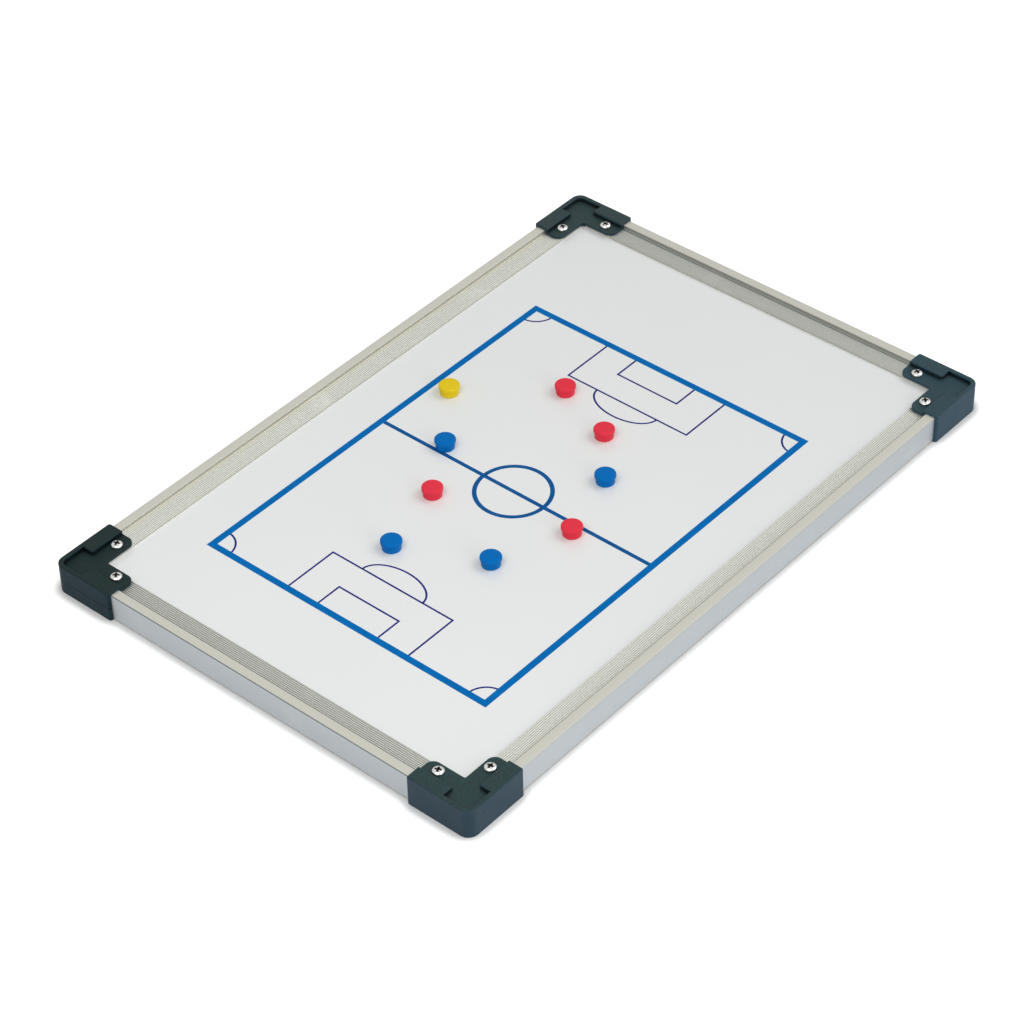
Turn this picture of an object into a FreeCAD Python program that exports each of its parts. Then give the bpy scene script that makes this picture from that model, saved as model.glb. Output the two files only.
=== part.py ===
import FreeCAD, Part
import math
import os

# Magnetic tactics board, lying face up: X across, Y along, Z up, in millimetres.
# A steel-faced panel sits in the channel of four extruded rails. Moulded caps plug
# the hollow rail ends at the corners and are screwed down through the rail lips.
# Loose magnetic counters stand on the printed face.

# Frame, measured over the outside of the rails
FRAME_WIDTH = 300.0
FRAME_LENGTH = 450.0

# Panel: steel face and back sheets on a stiff core
FACE_SHEET = 0.4
CORE_THICKNESS = 10.4
BACK_SHEET = 0.4
PANEL_GAP = 0.3

# Rail extrusion: hollow rim outside, fluted lip over the face, flange under the back
RIM_WIDTH = 6.1
RIM_STEP = 2.6
RIM_RADIUS = 0.5
RIM_LAND = 1.45
RAIL_WALL = 1.2
LIP_WIDTH = 11.8
LIP_THICKNESS = 1.7
LIP_LAND = 0.3
FLUTE_PITCH = 1.25
FLUTE_WIDTH = 0.9
FLUTE_DEPTH = 0.35
FLANGE_WIDTH = 9.0
FLANGE_THICKNESS = 1.2
RAIL_END_GAP = 0.2

# Corner cap, legs measured from the outer corner of the rails
CAP_LEG = 41.0
CAP_WALL = 2.0
CAP_FLOOR = 0.8
CAP_ROOF = 1.6
CAP_END_WALL = 1.5
CAP_FIT = 0.15
CAP_CORNER_RADIUS = 6.5
CAP_END_RADIUS = 1.5
CAP_EDGE_BEVEL = 0.6
BLOCK_WALL = 1.9
BLOCK_RADIUS = 0.7
CORNER_LIP = 3.0
PLATE_OVERHANG = 0.6
TAB_RADIUS = 5.0
NOTCH_RADIUS = 1.0
SPIGOT_LENGTH = 14.0
SPIGOT_FIT = 0.2
SPIGOT_LEAD = 0.8

# Cap screw with a pan head
SCREW_SETBACK = 9.0
SCREW_SHANK = 3.5
SCREW_COVER = 2.1
SCREW_POINT = 2.0
SCREW_HEAD = 6.7
SCREW_HEAD_HEIGHT = 2.4
SCREW_HEAD_EDGE = 0.9
SCREW_CROWN = 4.2
SCREW_HOLE_GAP = 0.2
PILOT_GAP = 0.05

# Magnetic counter: flanged plastic cap with a ferrite disc in its underside
COUNTER_WALL = 1.0
COUNTER_ROOF = 3.2
COUNTER_OVERHANG = 0.7
COUNTER_FLANGE_THICKNESS = 2.4
COUNTER_EDGE_BEVEL = 0.5
COUNTER_SEAT = 0.1
DISC_DIAMETER = 9.0
DISC_THICKNESS = 3.0
DISC_RECESS = 0.2
DISC_GAP = 0.1

# Printed pitch, by its margins from the inner edges of the rails
SIDE_MARGIN = 31.6
FRONT_MARGIN = 50.9
BACK_MARGIN = 83.3

# Counter places on the pitch, as shares of its half width and half length from its centre
COUNTER_PLACES = {
    "red": [(-0.335, 0.628), (0.095, 0.507), (0.495, -0.046), (-0.325, -0.218)],
    "blue": [(0.355, 0.286), (-0.55, 0.043), (0.315, -0.389), (-0.20, -0.564)],
    "yellow": [(-0.86, 0.321)],
}

# Levels above the surface that the board lies on
rail_bottom = CAP_FLOOR
back_bottom = rail_bottom + FLANGE_THICKNESS
core_bottom = back_bottom + BACK_SHEET
core_top = core_bottom + CORE_THICKNESS
face_level = core_top + FACE_SHEET
lip_top = face_level + LIP_THICKNESS
rim_top = lip_top + RIM_STEP
plate_top = lip_top + CAP_ROOF
block_top = rim_top + CAP_ROOF

# Plan sizes that pieces share
rail_width = RIM_WIDTH + LIP_WIDTH
rail_height = rim_top - rail_bottom
rail_stop = rail_width + CAP_END_WALL
plate_inner = rail_width + PLATE_OVERHANG
panel_inset = RIM_WIDTH + PANEL_GAP
block_inner = RIM_WIDTH + CAP_FIT + BLOCK_WALL
screw_along = CAP_LEG - SCREW_SETBACK
screw_inset = (block_inner + rail_width) / 2.0
screw_length = plate_top - core_bottom - SCREW_COVER
counter_height = DISC_RECESS + DISC_THICKNESS + COUNTER_ROOF
pitch_right = FRAME_WIDTH / 2.0 - rail_width - SIDE_MARGIN
pitch_front = rail_width + FRONT_MARGIN - FRAME_LENGTH / 2.0
pitch_back = FRAME_LENGTH / 2.0 - rail_width - BACK_MARGIN
overrun = CAP_LEG + CAP_WALL

UP = FreeCAD.Vector(0, 0, 1)
ORIGIN = FreeCAD.Vector(0, 0, 0)
QUARTER_TURN = 90.0
NEAR = 1e-4


def point(x, y, z=0.0):
    """Vector at x, y, z."""
    return FreeCAD.Vector(x, y, z)


def cylinder(diameter, bottom, top, x=0.0, y=0.0):
    """Upright cylinder between two levels."""
    return Part.makeCylinder(diameter / 2.0, top - bottom, point(x, y, bottom), UP)


def block(low, high):
    """Box between two opposite corners."""
    size = high.sub(low)
    return Part.makeBox(size.x, size.y, size.z, low)


def polygon_face(corners):
    """Face in the XY plane with straight sides through the corners."""
    wire = Part.makePolygon([point(x, y) for x, y in corners + corners[:1]])
    return Part.Face(wire)


def rounded_face(corners):
    """Face in the XY plane through (x, y, radius) corners, each rounded by a tangent arc."""
    edges = []
    leaving = []
    count = len(corners)
    for index, (x, y, radius) in enumerate(corners):
        corner = point(x, y)
        before = point(*corners[index - 1][:2]).sub(corner).normalize()
        after = point(*corners[(index + 1) % count][:2]).sub(corner).normalize()
        half_angle = before.getAngle(after) / 2.0
        reach = radius / math.tan(half_angle)
        arc_start = corner.add(before * reach)
        arc_end = corner.add(after * reach)
        if radius > 0.0:
            inward = before.add(after).normalize()
            middle = corner.add(inward * (radius / math.sin(half_angle) - radius))
            edges.append(Part.Arc(arc_start, middle, arc_end).toShape())
        leaving.append((arc_start, arc_end))
    for index, (_, arc_end) in enumerate(leaving):
        next_start = leaving[(index + 1) % count][0]
        edges.append(Part.LineSegment(arc_end, next_start).toShape())
    return Part.Face(Part.Wire(Part.__sortEdges__(edges)))


def revolved(outline):
    """Solid of revolution about Z from the (radius, level) corners of its half section."""
    corners = [point(radius, 0.0, level) for radius, level in outline + outline[:1]]
    return Part.Face(Part.makePolygon(corners)).revolve(ORIGIN, UP, 360.0)


def flat_edges(shape, level):
    """Edges of a shape that lie wholly at one level."""
    box_of = [(edge, edge.BoundBox) for edge in shape.Edges]
    return [edge for edge, box in box_of if abs(box.ZMin - level) < NEAR and abs(box.ZMax - level) < NEAR]


def screw_places():
    """Plan places of the cap screws, in the frame of the board."""
    places = []
    for side_x in (-1, 1):
        for side_y in (-1, 1):
            for across, along in ((screw_inset, screw_along), (screw_along, screw_inset)):
                places.append((side_x * (FRAME_WIDTH / 2 - across), side_y * (FRAME_LENGTH / 2 - along)))
    return places


def screw_holes(gap, bottom, top):
    """Upright holes for all cap screws between two levels."""
    diameter = SCREW_SHANK + 2.0 * gap
    return [cylinder(diameter, bottom, top, x, y) for x, y in screw_places()]


def panel_layer(bottom, thickness):
    """Flat layer of the panel, which reaches into the channel of the rails."""
    half_width = FRAME_WIDTH / 2.0 - panel_inset
    half_length = FRAME_LENGTH / 2.0 - panel_inset
    low = point(-half_width, -half_length, bottom)
    high = point(half_width, half_length, bottom + thickness)
    return block(low, high)


def face_sheet():
    """White steel face with clearance holes for the cap screws."""
    sheet = panel_layer(core_top, FACE_SHEET)
    return sheet.cut(screw_holes(SCREW_HOLE_GAP, core_top, face_level))


def core_panel():
    """Stiff core with a blind pilot hole under each cap screw."""
    hole_bottom = plate_top - screw_length - PILOT_GAP
    return panel_layer(core_bottom, CORE_THICKNESS).cut(screw_holes(PILOT_GAP, hole_bottom, core_top))


def back_sheet():
    """Plain steel sheet on the back of the core."""
    return panel_layer(back_bottom, BACK_SHEET)


def flute_corners(level):
    """Corners of the V-shaped flutes on the lip, from its inner edge back to the land at the rim."""
    count = int((LIP_WIDTH - LIP_LAND - RIM_LAND) / FLUTE_PITCH)
    first = rail_width - LIP_LAND - FLUTE_PITCH / 2.0
    half = FLUTE_WIDTH / 2.0
    corners = []
    for index in range(count):
        middle = first - index * FLUTE_PITCH
        corners += [(middle + half, level), (middle, level - FLUTE_DEPTH), (middle - half, level)]
    return corners


def rail_section():
    """Section of the extrusion: X inward from its outer face, Y up from its underside."""
    channel_top = face_level - rail_bottom
    lip_level = lip_top - rail_bottom
    flange_end = RIM_WIDTH + FLANGE_WIDTH
    corners = [(0.0, 0.0), (flange_end, 0.0), (flange_end, FLANGE_THICKNESS), (RIM_WIDTH, FLANGE_THICKNESS)]
    corners += [(RIM_WIDTH, channel_top), (rail_width, channel_top), (rail_width, lip_level)]
    corners += flute_corners(lip_level)
    corners += [(RIM_WIDTH, lip_level), (RIM_WIDTH, rail_height), (0.0, rail_height)]
    inner = RIM_WIDTH - RAIL_WALL
    top = rail_height - RAIL_WALL
    chamber = polygon_face([(RAIL_WALL, RAIL_WALL), (inner, RAIL_WALL), (inner, top), (RAIL_WALL, top)])
    return polygon_face(corners).cut(chamber)


def rim_edges(rail):
    """The two long top edges of the rim."""
    return [edge for edge in flat_edges(rail, rail_height) if edge.BoundBox.YLength > RIM_WIDTH]


def rail(span, length, quarter_turns):
    """Rail on the left side of a frame of this span, turned to its own side, square cut at both ends."""
    bar = rail_section().extrude(point(0, 0, length))
    bar.rotate(ORIGIN, point(1, 0, 0), QUARTER_TURN)
    bar = bar.makeFillet(RIM_RADIUS, rim_edges(bar))
    bar.translate(point(-span / 2.0, length / 2.0, rail_bottom))
    bar.rotate(ORIGIN, UP, QUARTER_TURN * quarter_turns)
    return bar.cut(screw_holes(SCREW_HOLE_GAP, face_level, lip_top))


def cap_plan():
    """L-shaped plan of a cap: X and Y inward from the outer faces of its two rails."""
    return rounded_face([
        (-CAP_WALL, -CAP_WALL, CAP_CORNER_RADIUS),
        (CAP_LEG, -CAP_WALL, CAP_END_RADIUS),
        (CAP_LEG, plate_inner, TAB_RADIUS),
        (plate_inner, plate_inner, NOTCH_RADIUS),
        (plate_inner, CAP_LEG, TAB_RADIUS),
        (-CAP_WALL, CAP_LEG, CAP_END_RADIUS),
    ])


def raised_plan():
    """Plan of the raised part of a cap: a block over each rim, joined by a lip round the corner."""
    lip_inner = CORNER_LIP - CAP_WALL
    return rounded_face([
        (-CAP_WALL, -CAP_WALL, CAP_CORNER_RADIUS),
        (CAP_LEG, -CAP_WALL, CAP_END_RADIUS),
        (CAP_LEG, block_inner, 0.0),
        (rail_width, block_inner, BLOCK_RADIUS),
        (rail_width, lip_inner, 0.0),
        (lip_inner, lip_inner, CAP_CORNER_RADIUS - CORNER_LIP),
        (lip_inner, rail_width, 0.0),
        (block_inner, rail_width, BLOCK_RADIUS),
        (block_inner, CAP_LEG, 0.0),
        (-CAP_WALL, CAP_LEG, CAP_END_RADIUS),
    ])


def cap_shell():
    """Outer form of a cap with bevelled top edges, before it is hollowed."""
    plate = cap_plan().extrude(point(0, 0, plate_top))
    shell = plate.fuse(raised_plan().extrude(point(0, 0, block_top))).removeSplitter()
    return shell.makeChamfer(CAP_EDGE_BEVEL, flat_edges(shell, block_top))


def rail_pocket():
    """Room in a cap for the rail along X and the panel edge in its channel."""
    section = polygon_face([
        (-CAP_FIT, rail_bottom),
        (overrun, rail_bottom),
        (overrun, lip_top),
        (RIM_WIDTH + CAP_FIT, lip_top),
        (RIM_WIDTH + CAP_FIT, rim_top + CAP_FIT),
        (-CAP_FIT, rim_top + CAP_FIT),
    ])
    bar = section.extrude(point(0, 0, overrun))
    bar.rotate(ORIGIN, point(1, 0, 0), QUARTER_TURN)
    bar.rotate(ORIGIN, UP, QUARTER_TURN)
    bar.translate(point(rail_stop, 0, 0))
    return bar


def spigot():
    """Tongue of a cap that plugs the hollow rim of the rail along X, with a tapered lead-in."""
    side = RAIL_WALL + SPIGOT_FIT
    low = point(rail_width, side, rail_bottom + side)
    high = point(rail_stop + SPIGOT_LENGTH, RIM_WIDTH - side, rim_top - side)
    tongue = block(low, high)
    end_edges = [edge for edge in tongue.Edges if abs(edge.BoundBox.XMin - high.x) < NEAR]
    lead = min(SPIGOT_LEAD, (high.y - low.y) / 3.0)
    return tongue.makeChamfer(lead, end_edges)


def diagonal_pair(shape):
    """A shape on the leg along X and its mirror image on the leg along Y."""
    mirrored = shape.mirror(ORIGIN, point(1, -1, 0).normalize())
    return [shape, mirrored]


def corner_cap(corner_x, corner_y, quarter_turns):
    """Moulded cap on one corner of the frame."""
    panel_room = panel_inset - CAP_FIT
    panel_pocket = block(point(panel_room, panel_room, back_bottom), point(overrun, overrun, face_level))
    notch_room = block(point(rail_width, rail_width, face_level), point(overrun, overrun, lip_top))
    screw_hole = cylinder(SCREW_SHANK + 2.0 * SCREW_HOLE_GAP, lip_top, plate_top, screw_along, screw_inset)
    hollows = diagonal_pair(rail_pocket()) + [panel_pocket, notch_room] + diagonal_pair(screw_hole)
    cap = cap_shell().cut(hollows).fuse(diagonal_pair(spigot())).removeSplitter()
    cap.rotate(ORIGIN, UP, QUARTER_TURN * quarter_turns)
    cap.translate(point(corner_x, corner_y))
    return cap


def cap_screw():
    """Self-tapping pan-head screw with the underside of its head at level zero."""
    head_radius = SCREW_HEAD / 2.0
    shank_radius = SCREW_SHANK / 2.0
    return revolved([
        (0.0, -screw_length),
        (shank_radius, SCREW_POINT - screw_length),
        (shank_radius, 0.0),
        (head_radius, 0.0),
        (head_radius, SCREW_HEAD_EDGE),
        (SCREW_CROWN / 2.0, SCREW_HEAD_HEIGHT),
        (0.0, SCREW_HEAD_HEIGHT),
    ])


def cap_screws():
    """All cap screws, each with its head on the plate of a cap."""
    screws = []
    for x, y in screw_places():
        screw = cap_screw()
        screw.translate(point(x, y, plate_top))
        screws.append(screw)
    return Part.makeCompound(screws)


def counter_cap():
    """Plastic cap of a counter, standing at level zero, with a pocket for its disc."""
    pocket_radius = DISC_DIAMETER / 2.0 + DISC_GAP
    pocket_top = DISC_RECESS + DISC_THICKNESS
    body_radius = pocket_radius + COUNTER_WALL
    flange_radius = body_radius + COUNTER_OVERHANG
    flange_bottom = counter_height - COUNTER_FLANGE_THICKNESS
    return revolved([
        (body_radius, 0.0),
        (body_radius, flange_bottom),
        (flange_radius, flange_bottom),
        (flange_radius, counter_height - COUNTER_EDGE_BEVEL),
        (flange_radius - COUNTER_EDGE_BEVEL, counter_height),
        (0.0, counter_height),
        (0.0, pocket_top),
        (pocket_radius, pocket_top),
        (pocket_radius, 0.0),
    ])


def counter_disc():
    """Ferrite disc against the roof of the pocket in a counter."""
    return cylinder(DISC_DIAMETER, DISC_RECESS, DISC_RECESS + DISC_THICKNESS)


def counters():
    """Cap and disc of every counter at its place on the face."""
    pieces = {}
    middle = (pitch_back + pitch_front) / 2.0
    half_length = (pitch_back - pitch_front) / 2.0
    for colour, places in COUNTER_PLACES.items():
        for number, (across, along) in enumerate(places, start=1):
            seat = point(across * pitch_right, middle + along * half_length, face_level + COUNTER_SEAT)
            for kind, shape in (("cap", counter_cap()), ("magnet", counter_disc())):
                shape.translate(seat)
                pieces[f"{colour}_counter_{number}_{kind}"] = shape
    return pieces


def rails():
    """The two long and two short rails, each between the end walls of its caps."""
    cut = 2.0 * (rail_stop + RAIL_END_GAP)
    return {
        "rail_left": rail(FRAME_WIDTH, FRAME_LENGTH - cut, 0),
        "rail_front": rail(FRAME_LENGTH, FRAME_WIDTH - cut, 1),
        "rail_right": rail(FRAME_WIDTH, FRAME_LENGTH - cut, 2),
        "rail_back": rail(FRAME_LENGTH, FRAME_WIDTH - cut, 3),
    }


def corner_caps():
    """The four identical corner caps."""
    right = FRAME_WIDTH / 2.0
    back = FRAME_LENGTH / 2.0
    return {
        "cap_front_left": corner_cap(-right, -back, 0),
        "cap_front_right": corner_cap(right, -back, 1),
        "cap_back_right": corner_cap(right, back, 2),
        "cap_back_left": corner_cap(-right, back, 3),
    }


def main():
    """Build every piece and write it to its own file."""
    os.makedirs("parts", exist_ok=True)
    pieces = {"face_sheet": face_sheet(), "core_panel": core_panel(), "back_sheet": back_sheet()}
    pieces.update(rails())
    pieces.update(corner_caps())
    pieces["cap_screws"] = cap_screws()
    pieces.update(counters())
    for name, shape in pieces.items():
        shape.exportStep(os.path.join("parts", f"{name}.step"))
        print(name, len(shape.Solids), "solids", round(shape.Volume, 1), "mm3", shape.isValid())


main()
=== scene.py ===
import enum
import logging
import math
from abc import ABC, abstractmethod
from dataclasses import dataclass
from typing import Callable, Sequence, Union

import bmesh
import bpy
import numpy as np
from mathutils import Matrix, Vector
from mathutils.geometry import tessellate_polygon


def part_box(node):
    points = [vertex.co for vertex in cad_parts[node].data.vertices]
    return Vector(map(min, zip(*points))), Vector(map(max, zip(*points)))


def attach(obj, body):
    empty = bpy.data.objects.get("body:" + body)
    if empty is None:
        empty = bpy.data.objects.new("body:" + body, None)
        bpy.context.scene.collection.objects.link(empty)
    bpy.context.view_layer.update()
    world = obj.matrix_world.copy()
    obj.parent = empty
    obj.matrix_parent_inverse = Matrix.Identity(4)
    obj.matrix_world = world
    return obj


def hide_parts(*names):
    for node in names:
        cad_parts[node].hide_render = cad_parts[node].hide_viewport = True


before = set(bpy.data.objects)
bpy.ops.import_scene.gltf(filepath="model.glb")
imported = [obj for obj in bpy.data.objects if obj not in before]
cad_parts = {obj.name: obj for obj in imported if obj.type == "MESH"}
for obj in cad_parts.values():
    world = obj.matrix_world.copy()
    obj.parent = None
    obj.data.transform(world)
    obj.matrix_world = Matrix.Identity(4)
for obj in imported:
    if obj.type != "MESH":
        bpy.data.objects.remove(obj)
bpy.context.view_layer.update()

BOARD = "board"
# Pieces are worked out in millimetres, finishes and the studio in metres
MM = 0.001
# Welding distance, in metres
WELD = 1e-7
# Slack when points of an outline are compared, in millimetres
SLACK = 1e-7
SHARP_ANGLE = math.radians(34.0)
LOG = logging.getLogger("tactics_board")

Array = np.ndarray
Colour = tuple[float, float, float, float]
Triple = tuple[float, float, float]
Value = Union["Sock", float, Triple, Colour]


def srgb(red: int, green: int, blue: int) -> Colour:
    """Turn an 8-bit screen colour into linear light.

    A channel c of 0 to 1 becomes c / 12.92 up to 0.04045, and ((c + 0.055) / 1.055) ** 2.4 above it.

    Args:
        red: Red channel.
        green: Green channel.
        blue: Blue channel.

    Returns:
        The linear colour with full opacity.
    """
    channel = np.array([red, green, blue]) / 255.0
    light = np.where(channel <= 0.04045, channel / 12.92, ((channel + 0.055) / 1.055) ** 2.4)
    return (*light.tolist(), 1.0)


def unit(vectors: Array) -> Array:
    """Scale each row to length one, and leave a row of zeros as it is."""
    return vectors / np.maximum(np.linalg.norm(vectors, axis=-1, keepdims=True), 1e-12)


class Side(enum.Enum):
    """A side of the frame, by the quarter turns that bring the left rail there."""

    LEFT = 0
    FRONT = 1
    RIGHT = 2
    BACK = 3

    def turned(self, points: Array) -> Array:
        """Turn points of the left side about the upright axis to this side.

        Args:
            points: Rows of x, y, z.

        Returns:
            The turned rows.
        """
        cosine, sine = ((1, 0), (0, 1), (-1, 0), (0, -1))[self.value]
        turn = np.array([[cosine, -sine, 0], [sine, cosine, 0], [0, 0, 1]], float)
        return points @ turn.T


class CounterColour(enum.Enum):
    """The plastics of the counters: number of counters, then the screen colour."""

    RED = (4, (234, 58, 76))
    BLUE = (4, (0, 109, 187))
    YELLOW = (1, (235, 205, 36))

    @property
    def count(self) -> int:
        """Number of counters in this colour."""
        return self.value[0]

    @property
    def tint(self) -> Colour:
        """Colour of the plastic in linear light."""
        return srgb(*self.value[1])


def math_method(operation: str, reflected: bool = False) -> Callable[["Sock", Value], "Sock"]:
    """Make an operator of a socket that adds one Math node.

    Args:
        operation: Blender's name for what the node does.
        reflected: Whether the other value comes first, as in 1 - mask.

    Returns:
        The method.
    """
    def add_node(this: "Sock", other: Value) -> "Sock":
        """Work on a socket and another value."""
        first, second = (other, this) if reflected else (this, other)
        return this.shader.node("ShaderNodeMath", {"operation": operation}, {0: first, 1: second})
    return add_node


class Sock:
    """An output socket whose operators add Math nodes to its own tree, where | gives the larger value."""

    def __init__(self, shader: "Shader", socket: bpy.types.NodeSocket) -> None:
        """Keep the socket and the shader that it belongs to."""
        self.shader = shader
        self.socket = socket

    __add__ = math_method("ADD")
    __radd__ = math_method("ADD", True)
    __sub__ = math_method("SUBTRACT")
    __rsub__ = math_method("SUBTRACT", True)
    __mul__ = math_method("MULTIPLY")
    __rmul__ = math_method("MULTIPLY", True)
    __or__ = math_method("MAXIMUM")


class Shader:
    """A node tree that is filled through one method for every kind of node."""

    def __init__(self, owner: Union[bpy.types.Material, bpy.types.World]) -> None:
        """Start an empty tree.

        Args:
            owner: Material or world that the tree belongs to.
        """
        owner.use_nodes = True
        self.owner = owner
        self.tree = owner.node_tree
        self.tree.nodes.clear()

    def node(self, kind: str, settings: dict[str, object], sockets: dict[Union[str, int], Value],
             output: Union[str, int] = 0) -> Sock:
        """Add a node, set its settings, then fill its sockets.

        Args:
            kind: Blender's name for the type of node.
            settings: Properties to set first; the key stops holds the stops of a colour ramp.
            sockets: Values or links by the name or number of the input.
            output: Name or number of the output.

        Returns:
            The chosen output.
        """
        made = self.tree.nodes.new(kind)
        for key, value in settings.items():
            if key == "stops":
                self.set_stops(made.color_ramp, value)
            else:
                setattr(made, key, value)
        for key, value in sockets.items():
            if isinstance(value, Sock):
                self.tree.links.new(value.socket, made.inputs[key])
            else:
                made.inputs[key].default_value = value
        outputs = made.outputs
        return Sock(self, outputs[output] if len(outputs) else None)

    @staticmethod
    def set_stops(ramp: bpy.types.ColorRamp, stops: Sequence[tuple[float, float]]) -> None:
        """Give a colour ramp grey stops.

        Args:
            ramp: The ramp.
            stops: Place and brightness of each stop.
        """
        while len(ramp.elements) < len(stops):
            ramp.elements.new(1.0)
        for element, (place, grey) in zip(ramp.elements, stops):
            element.position = place
            element.color = (grey, grey, grey, 1.0)

    def place(self, scale: Triple = (1.0, 1.0, 1.0), turn: Triple = (0.0, 0.0, 0.0)) -> Sock:
        """Object coordinates, scaled along each axis and turned about it, in radians."""
        coordinates = self.node("ShaderNodeTexCoord", {}, {}, "Object")
        return self.node("ShaderNodeMapping", {}, {"Vector": coordinates, "Scale": scale, "Rotation": turn})

    def noise(self, where: Sock, size: float, detail: float, roughness: float = 0.5) -> Sock:
        """Cloudy noise with features of about one size, in metres, over the coordinates given."""
        return self.node("ShaderNodeTexNoise", {}, {
            "Vector": where, "Scale": 1.0 / size, "Detail": detail, "Roughness": roughness})

    def ramp(self, value: Value, stops: Sequence[tuple[float, float]]) -> Sock:
        """Send a value through a grey ramp."""
        return self.node("ShaderNodeValToRGB", {"stops": stops}, {0: value})

    def blend(self, share: Value, first: Value, second: Value) -> Sock:
        """Mix two colours by a share from 0 to 1."""
        return self.node("ShaderNodeMix", {"data_type": "RGBA"}, {0: share, 6: first, 7: second}, 2)

    def bump(self, height: Value, depth: float, strength: float) -> Sock:
        """Normal of a surface raised by a height from 0 to 1 times a depth in metres."""
        return self.node("ShaderNodeBump", {}, {"Height": height, "Distance": depth, "Strength": strength})

    def surface(self, sockets: dict[Union[str, int], Value]) -> None:
        """End the tree in a Principled surface with these sockets."""
        principled = self.node("ShaderNodeBsdfPrincipled", {}, sockets)
        self.node("ShaderNodeOutputMaterial", {}, {"Surface": principled})


@dataclass(frozen=True)
class Finish(ABC):
    """A finish that can be put on a piece."""

    name: str

    @abstractmethod
    def fill(self, shader: Shader) -> None:
        """Build the finish in an empty tree."""

    def material(self) -> bpy.types.Material:
        """Make the material of this finish, or find the one that is made.

        Returns:
            The material.
        """
        found = bpy.data.materials.get(self.name)
        if found is None:
            found = bpy.data.materials.new(self.name)
            self.fill(Shader(found))
        return found

    def put_on(self, piece: bpy.types.Object) -> None:
        """Give a piece this finish in every material slot.

        Args:
            piece: The piece.
        """
        if not piece.material_slots:
            piece.data.materials.append(None)
        for place in piece.material_slots:
            place.material = self.material()


@dataclass(frozen=True)
class WhiteLacquer(Finish):
    """Baked white lacquer with a faint orange peel and the marks of a wiping cloth."""

    tint: Colour = srgb(234, 236, 235)
    shade: Colour = srgb(230, 232, 231)

    def fill(self, shader: Shader) -> None:
        """Cloudy tone, wiping marks in the gloss, and a fine ripple.

        Args:
            shader: Empty tree.
        """
        where = shader.place()
        cloud = shader.noise(where, 0.09, 3.0)
        smear = shader.noise(shader.place((0.16, 1.0, 1.0), (0.0, 0.0, 0.5)), 0.012, 4.0)
        peel = shader.noise(where, 0.0011, 1.0)
        shader.surface({
            "Base Color": shader.blend(cloud, self.tint, self.shade),
            "Roughness": 0.27 + 0.16 * smear,
            "Coat Weight": 0.12 + 0.1 * smear,
            "Coat Roughness": 0.12,
            "Normal": shader.bump(peel, 0.00002, 0.5),
        })


@dataclass(frozen=True)
class PrintInk(Finish):
    """Screen-printed ink with a slightly uneven film."""

    tint: Colour = srgb(6, 111, 186)
    shade: Colour = srgb(3, 102, 173)

    def fill(self, shader: Shader) -> None:
        """Density that drifts along the print, with the grain of the screen.

        Args:
            shader: Empty tree.
        """
        where = shader.place()
        density = shader.ramp(shader.noise(where, 0.006, 4.0, 0.6), ((0.3, 0.0), (0.7, 1.0)))
        mesh = shader.noise(where, 0.0003, 1.0)
        shader.surface({
            "Base Color": shader.blend(density, self.tint, self.shade),
            "Roughness": 0.4 + 0.18 * mesh,
            "Specular IOR Level": 0.03,
            "Normal": shader.bump(mesh, 0.000008, 0.5),
        })


@dataclass(frozen=True)
class AnodisedRail(Finish):
    """Satin anodised extrusion with die lines and a few rubbed marks, with light and shade painted into its
    tints.
    """

    # The top and side tints are painted light: the top is warmer and the walls cooler for how each is lit.
    lit_top_tint: Colour = srgb(202, 201, 190)
    lit_side_tint: Colour = srgb(194, 200, 204)
    # The dark tint is painted shade and dark reflection on the flutes, step, land and edges.
    painted_shade_tint: Colour = srgb(104, 115, 119)
    line_tint: Colour = srgb(140, 141, 138)
    rubbed_tint: Colour = srgb(222, 222, 216)

    def fill(self, shader: Shader) -> None:
        """Die lines along the rail, and a tone for each of its forms, which paints light and shade.

        The run attribute holds the length along the rail, the length round its section, and the form, which
        is up to 1 on the upright walls, which take the painted side tint, and below 0 where shade is
        painted.

        Args:
            shader: Empty tree.
        """
        run = shader.node("ShaderNodeAttribute", {"attribute_name": "run"}, {}, "Vector")
        along = shader.node("ShaderNodeMapping", {}, {"Vector": run, "Scale": (0.004, 1.0, 0.0)})
        lines = shader.noise(along, 0.0005, 4.0, 0.6)
        form = shader.node("ShaderNodeSeparateXYZ", {}, {0: run}, "Z")
        grain = shader.noise(shader.place(), 0.00035, 2.0)
        rubbed = shader.ramp(shader.noise(shader.place(), 0.03, 5.0, 0.62), ((0.58, 0.0), (0.8, 1.0)))
        # Painted light: the walls take the cooler side tint by the form.
        base_tone = shader.blend(form | 0.0, self.lit_top_tint, self.lit_side_tint)
        # Painted shade: the dark tint by the minus part of the form.
        with_painted_shade = shader.blend(0.82 * ((0.0 - form) | 0.0), base_tone, self.painted_shade_tint)
        lined = shader.blend(0.22 * lines, with_painted_shade, self.line_tint)
        shader.surface({
            "Base Color": shader.blend(0.2 * rubbed, lined, self.rubbed_tint),
            "Metallic": 0.82,
            "Roughness": 0.34 + 0.16 * lines + 0.06 * grain - 0.08 * rubbed,
            "Normal": shader.bump(0.7 * lines + 0.3 * grain, 0.000012, 0.6),
        })


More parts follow.
